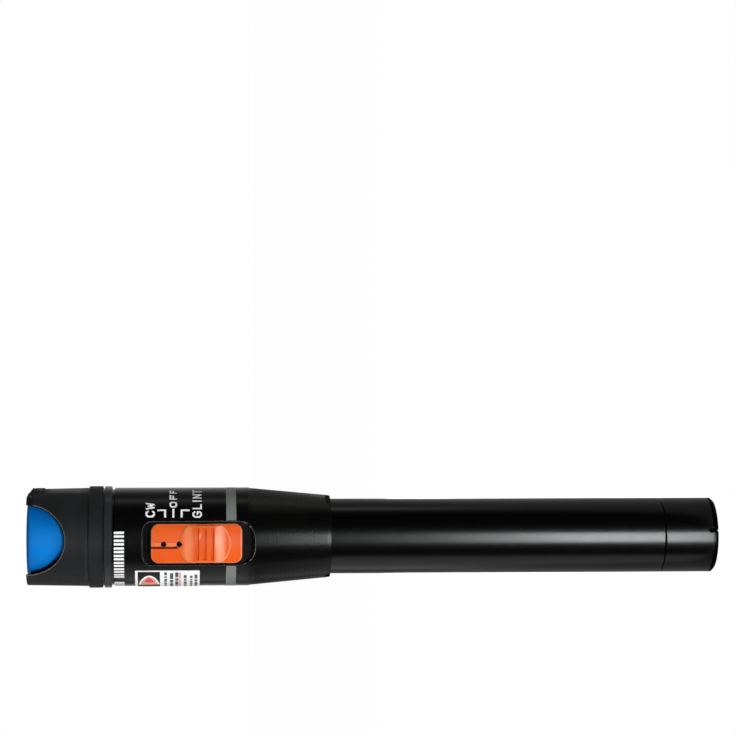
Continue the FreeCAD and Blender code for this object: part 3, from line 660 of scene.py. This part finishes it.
looks = {
    "tail_cap": cap_black, "battery_tube": tube_black, "head_housing": head_black,
    "cowl": cowl_black, "dust_cap": cap_blue, "switch_slider": orange, "tail_seal": rubber_black,
    "tube_seal": rubber_black, "cap_pad": pad_grey, "tail_contact": nickel,
    "tail_spring": spring_steel, "cap_hinge_pin": black_pin, "rear_cell": cell_can,
    "front_cell": cell_can, "info_label": label_white, "switch_lever": black_chip,
    "slide_switch": nickel, "circuit_board": green_board, "driver_chip": black_chip,
    "board_capacitor": tan_cap, "contact_carrier": natural, "positive_contact": brass,
    "ground_ring": brass, "laser_wire_red": wire_red, "laser_wire_black": wire_black,
    "laser_housing": turned_brass, "laser_diode": nickel, "collimator_lens": lens_glass(),
    "port_adapter": adapter_nickel, "ceramic_sleeve": zirconia,
}
for name, look in looks.items():
    obj = nodes[name]
    obj.data.materials.clear()
    obj.data.materials.append(look)


# ---------------------------------------------------------------- drawing on the round surface

INK = 0.03 * MM             # printed marks stand this far off what they are printed on
PRINT_R = BODY_R + INK
FACET = 1.5                 # a curved mark has a flat facet for each full step of these degrees


def at(radius, degrees, z):
    """A point on the round surface: degrees from the switch line, towards the hinge side."""
    a = math.radians(degrees)
    return Vector((radius * math.sin(a), -radius * math.cos(a), z))


def to_degrees(arc):
    return math.degrees(arc / BODY_R)


def strip(bm, pairs, slot=0):
    """A strip of faces between neighbouring pairs of points."""
    rows = [(bm.verts.new(a), bm.verts.new(b)) for a, b in pairs]
    for a, b in zip(rows, rows[1:]):
        face = bm.faces.new((a[0], b[0], b[1], a[1]))
        face.material_index = slot


def patch(bm, radius, deg0, deg1, z0, z1, slot=0):
    """A patch of the round surface between two turns and two heights."""
    steps = max(1, int(abs(deg1 - deg0) / FACET))
    turns = [deg0 + (deg1 - deg0) * i / steps for i in range(steps + 1)]
    strip(bm, [(at(radius, d, z0), at(radius, d, z1)) for d in turns], slot)


def finish_piece(name, bm, materials, body):
    """Make a piece of the drawn faces, all facing outwards, that rides on a body."""
    bmesh.ops.remove_doubles(bm, verts=bm.verts, dist=1e-7)
    bmesh.ops.recalc_face_normals(bm, faces=bm.faces)
    for face in bm.faces:
        c = face.calc_center_median()
        if face.normal.x * c.x + face.normal.y * c.y < 0:
            face.normal_flip()
    mesh = bpy.data.meshes.new(name)
    bm.to_mesh(mesh)
    bm.free()
    for face in mesh.polygons:
        face.use_smooth = True
    for m in materials:
        mesh.materials.append(m)
    obj = bpy.data.objects.new(name, mesh)
    bpy.context.scene.collection.objects.link(obj)
    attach(obj, body)


# ---------------------------------------------------------------- index marks and words

# strokes of the plain capitals, on a grid 4 wide and 6 high
GRID_WIDE = 4.0
GRID_HIGH = 6.0
LETTERS = {
    "C": [[(3.7, 4.6), (3.0, 5.6), (1.4, 5.6), (0.5, 4.4), (0.5, 1.6), (1.4, 0.4), (3.0, 0.4),
           (3.7, 1.4)]],
    "W": [[(0.1, 5.7), (1.0, 0.4), (2.0, 4.4), (3.0, 0.4), (3.9, 5.7)]],
    "O": [[(1.3, 0.4), (0.5, 1.6), (0.5, 4.4), (1.3, 5.6), (2.7, 5.6), (3.5, 4.4), (3.5, 1.6),
           (2.7, 0.4), (1.3, 0.4)]],
    "F": [[(3.6, 5.6), (0.6, 5.6), (0.6, 0.3)], [(0.6, 3.1), (3.0, 3.1)]],
    "G": [[(3.7, 4.6), (3.0, 5.6), (1.4, 5.6), (0.5, 4.4), (0.5, 1.6), (1.4, 0.4), (3.0, 0.4),
           (3.7, 1.4), (3.7, 2.8), (2.3, 2.8)]],
    "L": [[(0.6, 5.7), (0.6, 0.4), (3.5, 0.4)]],
    "I": [[(2.0, 5.7), (2.0, 0.3)]],
    "N": [[(0.5, 0.3), (0.5, 5.6), (3.5, 0.4), (3.5, 5.7)]],
    "T": [[(0.2, 5.6), (3.8, 5.6)], [(2.0, 5.6), (2.0, 0.3)]],
}
LETTER_GAP = 1.3            # grid units between two letters
I_NARROWER = 2.2            # grid units that the letter I does without
STROKE_PAST = 0.4           # a stroke runs past its ends by this share of its width


def stroke(bm, a, b, width):
    """A straight stroke between two points given as (arc from the switch line, height)."""
    dx, dz = b[0] - a[0], b[1] - a[1]
    length = math.hypot(dx, dz)
    ux, uz = dx / length * width, dz / length * width
    ax, az = a[0] - ux * STROKE_PAST, a[1] - uz * STROKE_PAST
    bx, bz = b[0] + ux * STROKE_PAST, b[1] + uz * STROKE_PAST
    nx, nz = -uz / 2, ux / 2
    corners = ((ax + nx, az + nz), (ax - nx, az - nz), (bx - nx, bz - nz), (bx + nx, bz + nz))
    bm.faces.new([bm.verts.new(at(PRINT_R, to_degrees(arc), z)) for arc, z in corners])


def write(bm, word, arc_mid, z_mid, height, stretch, width):
    """A word that reads along the arc, its letters' tops towards the nose."""
    unit = height / GRID_HIGH
    across = unit * stretch
    advance = (GRID_WIDE + LETTER_GAP) * across
    narrow = I_NARROWER * across
    start = arc_mid - (len(word) * advance - word.count("I") * narrow - LETTER_GAP * across) / 2
    for letter in word:
        inset = narrow / 2 * (letter == "I")
        for line in LETTERS[letter]:
            points = [(start - inset + px * across, z_mid - height / 2 + pz * unit)
                      for px, pz in line]
            for a, b in zip(points, points[1:]):
                stroke(bm, a, b, width)
        start += advance - 2 * inset


MARK_FOOT = 6.75 * MM               # arcs from the switch line
MARK_TOP = 9.25 * MM
MARK_MIDDLE = nose_z - 36.62 * MM
MARK_SHARE = 0.181                  # of the slider's half length lies between two marks
MARK_PITCH = (slider_hi.z - slider_mid) * MARK_SHARE
MARK_HALF = 0.25 * MM               # half the thickness of a mark
ARM_ARC = MARK_TOP - 0.45 * MM      # the two outer marks turn into arms here
NOSE_ARM = 1.95 * MM
TAIL_ARM = 2.0 * MM
# word, arc and height of its middle, height of its letters, stretch along the arc, stroke width
WORDS = (("CW", 8.9 * MM, nose_z - 30.9 * MM, 2.15 * MM, 1.25, 0.45 * MM),
         ("OFF", 13.2 * MM, nose_z - 36.6 * MM, 1.7 * MM, 1.75, 0.42 * MM),
         ("GLINT", 11.75 * MM, nose_z - 42.55 * MM, 2.2 * MM, 1.2, 0.42 * MM))


def index_marks():
    """Three marks beside the switch, and the words that name its positions."""
    bm = bmesh.new()
    arm_low, arm_high = to_degrees(ARM_ARC - MARK_HALF), to_degrees(ARM_ARC + MARK_HALF)
    for k, top in ((-1, arm_high), (0, to_degrees(MARK_TOP)), (1, arm_high)):
        z = MARK_MIDDLE + k * MARK_PITCH
        patch(bm, PRINT_R, to_degrees(MARK_FOOT), top, z - MARK_HALF, z + MARK_HALF)
    nose_mark, tail_mark = MARK_MIDDLE + MARK_PITCH, MARK_MIDDLE - MARK_PITCH
    patch(bm, PRINT_R, arm_low, arm_high, nose_mark, nose_mark + NOSE_ARM)
    patch(bm, PRINT_R, arm_low, arm_high, tail_mark - TAIL_ARM, tail_mark)
    for word in WORDS:
        write(bm, *word)
    finish_piece("index_marks", bm, [white_ink], "pen_body")


index_marks()


# ---------------------------------------------------------------- bars and band round the body

BARS_FOOT = nose_z - 24.4 * MM
BARS_TOP = nose_z - 21.9 * MM
BARS_START = 3.2 * MM               # arc from the switch line
BAR_GROUPS = (7, 5, 6)              # pairs of bars in each group
PAIR_PITCH = 1.95 * MM
BAR_PITCH = 0.9 * MM
BAR_WIDTH = 0.6 * MM
GROUP_GAP = 1.8 * MM


def bar_row():
    """A row of short white bars round the body, where the real one has its name printed."""
    bm = bmesh.new()
    arc = BARS_START
    for pairs in BAR_GROUPS:
        for _ in range(pairs):
            for start in (arc, arc - BAR_PITCH):
                patch(bm, PRINT_R, to_degrees(start), to_degrees(start - BAR_WIDTH),
                      BARS_FOOT, BARS_TOP)
            arc -= PAIR_PITCH
        arc -= GROUP_GAP
    finish_piece("bar_row", bm, [white_ink], "pen_body")


bar_row()

LIP_R = 10.2 * MM
LIP_FROM = math.radians(14.0)       # turn along the window's oval, from its foot
LIP_TO = math.radians(71.6)
LIP_STEPS = 16
LIP_GROWTHS = (0.94, 1.035)         # the lip's two edges, as shares of the window's oval


def lip_point(side, across, down):
    """A point of the lip on the pen's near side (0 degrees) or far side (180 degrees)."""
    return at(LIP_R, side + math.degrees(math.asin(across / LIP_R)), nose_z - down)


def lip_ends():
    """The side wings' lips, run on a little under the windows' edges to close the sight line; seen
    in the gap they stand in for its shade, darkened there by the wing's painted shadow.
    """
    bm = bmesh.new()
    for side in (0, 180):
        for sign in (-1, 1):
            pairs = []
            for i in range(LIP_STEPS + 1):
                t = LIP_FROM + (LIP_TO - LIP_FROM) * i / LIP_STEPS
                pairs.append([lip_point(side, sign * WINDOW_HALF * math.sin(t) * grow,
                                        WINDOW_DEPTH * math.cos(t) * grow)
                              for grow in LIP_GROWTHS])
            strip(bm, pairs)
    finish_piece("lip_ends", bm, [cap_blue], "dust_cap")


lip_ends()

BAND_FOOT = nose_z - 52.3 * MM
BAND_TOP = nose_z - 49.8 * MM
BAND_START = 5.95 * MM              # arc at which it stops short of the recess, on both sides


def grey_band():
    """The grey band behind the switch, open where the recess is."""
    bm = bmesh.new()
    edge = to_degrees(BAND_START)
    patch(bm, PRINT_R, edge, 360 - edge, BAND_FOOT, BAND_TOP)
    finish_piece("grey_band", bm, [grey_ink], "pen_body")


grey_band()


# ---------------------------------------------------------------- label

LABEL_FILM = 0.08 * MM
LABEL_R = BODY_R + LABEL_FILM + INK
LABEL_START = -34.0                 # degrees from the switch line
LABEL_END = -154.0
LABEL_MARGIN = 1.6                  # degrees left bare at both ends of the panel
LABEL_RIM = 0.65 * MM
PANEL_FOOT = label_top - 6.2 * MM  # the black panel lies above this, the rows of dashes below
ARCH_MIDDLE = label_top - 3.5 * MM
ARCH_FEET = (-64.0, -104.0, -144.0) # degrees from the switch line
ARCH_STEPS = 20
ARCH_POWER = 1.15                   # 1 would give half an oval, and more a more pointed top
BLACK, RED, WHITE, GREY, PINK = range(5)
# the arches that lie on each other: arc past the foot, half width, height, ink
ARCHES = ((0.0, 2.6 * MM, 4.8 * MM, WHITE), (0.0, 2.15 * MM, 4.2 * MM, PINK),
          (1.6 * MM, 1.1 * MM, 2.2 * MM, RED))
# rows of dashes: mm below the panel, degrees to the first dash, thickness and dash in mm, ink
DASH_ROWS = ((1.4, 2.5, 0.65, 1.1, GREY), (2.9, 4.0, 0.8, 2.4, GREY), (4.2, 2.6, 0.8, 1.9, GREY),
             (5.0, 2.4, 0.45, 2.6, PINK), (6.3, 7.2, 0.7, 1.3, GREY), (7.8, 8.6, 0.65, 0.9, GREY),
             (9.0, 6.4, 0.7, 1.7, GREY))
DASH_LENGTHS = (1.0, 0.6, 1.3)      # the dashes of a row take turns in these shares
DASH_GAP = 0.45 * MM
DASH_STOP = 4.0                     # degrees left bare at the far end, or a little less


def arch(bm, radius, arc, half, tall, slot):
    """A rounded arch with its top towards the switch; arc gives the place of its foot."""
    pairs = []
    for i in range(ARCH_STEPS + 1):
        t = math.pi / 2 * i / ARCH_STEPS
        reach = half * math.cos(t)
        degrees = to_degrees(arc + tall * math.sin(t) ** ARCH_POWER)
        pairs.append((at(radius, degrees, ARCH_MIDDLE - reach),
                      at(radius, degrees, ARCH_MIDDLE + reach)))
    strip(bm, pairs, slot)


def dashes(bm, down, first, thick, dash, ink):
    """One row of dashes along the arc."""
    z = PANEL_FOOT - down * MM
    half = thick / 2 * MM
    start = LABEL_START - first
    count = 0
    while start - to_degrees(dash * MM) > LABEL_END + DASH_STOP:
        long = to_degrees(dash * DASH_LENGTHS[count % len(DASH_LENGTHS)] * MM)
        patch(bm, LABEL_R, start, start - long, z - half, z + half, ink)
        start -= long + to_degrees(DASH_GAP)
        count += 1


def label_print():
    """A black panel with plain arches, and rows of dashes, in place of the printed text."""
    bm = bmesh.new()
    patch(bm, LABEL_R, LABEL_START - LABEL_MARGIN, LABEL_END + LABEL_MARGIN,
          PANEL_FOOT, label_top - LABEL_RIM, BLACK)
    for foot in ARCH_FEET:
        arc = math.radians(foot) * BODY_R
        for layer, (past_foot, half, tall, ink) in enumerate(ARCHES, start=1):
            arch(bm, LABEL_R + layer * INK, arc + past_foot, half, tall, ink)
    for row in DASH_ROWS:
        dashes(bm, *row)
    inks = [label_black, label_red, label_white, label_grey, label_pink]
    finish_piece("label_print", bm, inks, "pen_body")


label_print()


# ---------------------------------------------------------------- floor and surroundings

FLOOR_RADIUS = 2.0
FLOOR_FRONT = -16.5 * MM        # the floor starts just in front of the pen
FLOOR_REFLECTED = (20, 20, 20)
FLOOR_LIFT = 0.8                # light that the floor adds where it is seen
FLOOR_SHINE = 0.12              # and where it is reflected
# a range of light, and the range of directions over which it runs
FRONT_TO_BACK = (0.0, 0.15, -0.3, 0.3)
FULL_BACK = (0.0, 0.87, 0.6, 1.0)
FAR_TO_HINGE = (0.3, 0.1, -0.9, 0.9)
SEEN_RAYS = ("Is Camera Ray", "Is Transmission Ray")
GLOSSY_RAYS = ("Is Glossy Ray",)


def ray_is(tree, kinds):
    """1 for rays of these kinds, such as those that come straight from the camera."""
    path = tree.nodes.new("ShaderNodeLightPath")
    total = path.outputs[kinds[0]]
    for kind in kinds[1:]:
        total = maths(tree, "MAXIMUM", total, path.outputs[kind])
    return total


def floor():
    """A pale round floor, lifted to white where it is seen and darker in reflections."""
    bm = bmesh.new()
    bmesh.ops.create_circle(bm, cap_ends=True, cap_tris=False, segments=128, radius=FLOOR_RADIUS)
    mesh = bpy.data.meshes.new("floor")
    bm.to_mesh(mesh)
    bm.free()
    obj = bpy.data.objects.new("floor", mesh)
    obj.location = (0.0, FLOOR_RADIUS + FLOOR_FRONT, 0.0)
    bpy.context.scene.collection.objects.link(obj)
    m, tree, p = new_material("floor_pale")
    p.inputs["Roughness"].default_value = 0.9
    p.inputs["Specular IOR Level"].default_value = 0.0
    pale = blend_colour(tree, noise(tree, 3.0), (0.90, 0.90, 0.90, 1), (0.92, 0.92, 0.92, 1))
    glossy = ray_is(tree, GLOSSY_RAYS)
    tree.links.new(tint(tree, times(tree, glossy, HALF_LAID), FLOOR_REFLECTED, pale),
                   p.inputs["Base Color"])
    p.inputs["Emission Color"].default_value = (1, 1, 1, 1)
    lift = times(tree, ray_is(tree, SEEN_RAYS), FLOOR_LIFT)
    tree.links.new(plus(tree, lift, times(tree, glossy, FLOOR_SHINE)),
                   p.inputs["Emission Strength"])
    mesh.materials.append(m)


floor()


def studio_world():
    """White for what the camera sees and what reflects from behind, dim in front of the pen."""
    world = bpy.data.worlds.new("studio")
    bpy.context.scene.world = world
    world.use_nodes = True
    tree = world.node_tree
    for n in list(tree.nodes):
        tree.nodes.remove(n)
    out = tree.nodes.new("ShaderNodeOutputWorld")
    backdrop = tree.nodes.new("ShaderNodeBackground")
    coords = tree.nodes.new("ShaderNodeTexCoord")
    split = tree.nodes.new("ShaderNodeSeparateXYZ")
    tree.links.new(coords.outputs["Generated"], split.inputs[0])
    x, y, _ = split.outputs
    level = maths(tree, "SQRT", plus(tree, times(tree, x, x), times(tree, y, y)))
    depth = over(tree, y, maths(tree, "MAXIMUM", level, 0.001))
    behind = plus(tree, spread(tree, depth, *FRONT_TO_BACK), spread(tree, depth, *FULL_BACK))
    seen = maths(tree, "MAXIMUM", ray_is(tree, SEEN_RAYS),
                 times(tree, ray_is(tree, GLOSSY_RAYS), behind))
    soft = minus(tree, 1.0, ray_is(tree, SEEN_RAYS + GLOSSY_RAYS))
    across = spread(tree, x, *FAR_TO_HINGE)
    backdrop.inputs["Color"].default_value = (1, 1, 1, 1)
    tree.links.new(plus(tree, seen, times(tree, soft, across)), backdrop.inputs["Strength"])
    tree.links.new(backdrop.outputs["Background"], out.inputs["Surface"])


studio_world()


# ---------------------------------------------------------------- lamps and camera

def area(name, spot, target, size_x, size_y, radiance, colour=(1, 1, 1)):
    """A flat lamp given by how bright it looks; size_x runs level and size_y upright."""
    light = bpy.data.lights.new(name, "AREA")
    light.shape = "RECTANGLE"
    light.size = size_x
    light.size_y = size_y
    light.energy = radiance * math.pi * size_x * size_y
    light.color = colour
    obj = bpy.data.objects.new(name, light)
    obj.location = spot
    way = Vector(target) - Vector(spot)
    obj.rotation_euler = way.to_track_quat("-Z", "Y").to_euler()
    obj.visible_camera = False
    bpy.context.scene.collection.objects.link(obj)
    return obj


area("low_front", (0.01, -0.5, -0.0663), (0.01, 0, 0.04), 0.25, 0.0835, 33.0,
     colour=(0.97, 1.0, 1.01))
area("high_front", (-0.12, -0.80, 0.54), (0, 0, 0.12), 0.5, 0.36, 3.0)
area("under_front", (-0.02, -0.21, -0.093), (0, -0.012, 0.13), 0.12, 0.07, 6.0)
area("far_side", (-0.5, -0.03, 0.05), (0, -0.02, 0.09), 0.57, 0.5, 1.0)
area("hinge_side", (0.55, 0.10, 0.16), (0, 0, 0.12), 0.10, 0.3, 1.3)
fill = area("behind_fill", (0.1, 0.9, 0.28), (0, 0, 0.1), 0.5, 0.5, 6.0)
fill.visible_glossy = False

CAMERA_AIM = Vector((43.011 * MM, 0.0, 89.212 * MM))
CAMERA_DISTANCE = 609.237 * MM
CAMERA_AZIMUTH = math.radians(4.8883)       # from the switch side towards the hinge side
CAMERA_ELEVATION = math.radians(4.4642)
CAMERA_ROLL = math.radians(-89.9053)        # about a quarter turn, so that the pen looks lying
SENSOR_WIDTH = 36.0
FOCAL_LENGTH = 117.3913


def add_camera():
    camera = bpy.data.cameras.new("camera")
    camera.sensor_width = SENSOR_WIDTH
    camera.lens = FOCAL_LENGTH
    camera.clip_start = 0.01
    back = Vector((math.sin(CAMERA_AZIMUTH) * math.cos(CAMERA_ELEVATION),
                   -math.cos(CAMERA_AZIMUTH) * math.cos(CAMERA_ELEVATION),
                   math.sin(CAMERA_ELEVATION)))
    level = Vector((math.cos(CAMERA_AZIMUTH), math.sin(CAMERA_AZIMUTH), 0.0))
    right = level * math.cos(CAMERA_ROLL) + back.cross(level) * math.sin(CAMERA_ROLL)
    turn = Matrix((right, back.cross(right), back)).transposed()
    obj = bpy.data.objects.new("camera", camera)
    obj.matrix_world = Matrix.Translation(CAMERA_AIM + back * CAMERA_DISTANCE) @ turn.to_4x4()
    bpy.context.scene.collection.objects.link(obj)
    bpy.context.scene.camera = obj


add_camera()
bpy.context.scene.view_settings.view_transform = "Standard"
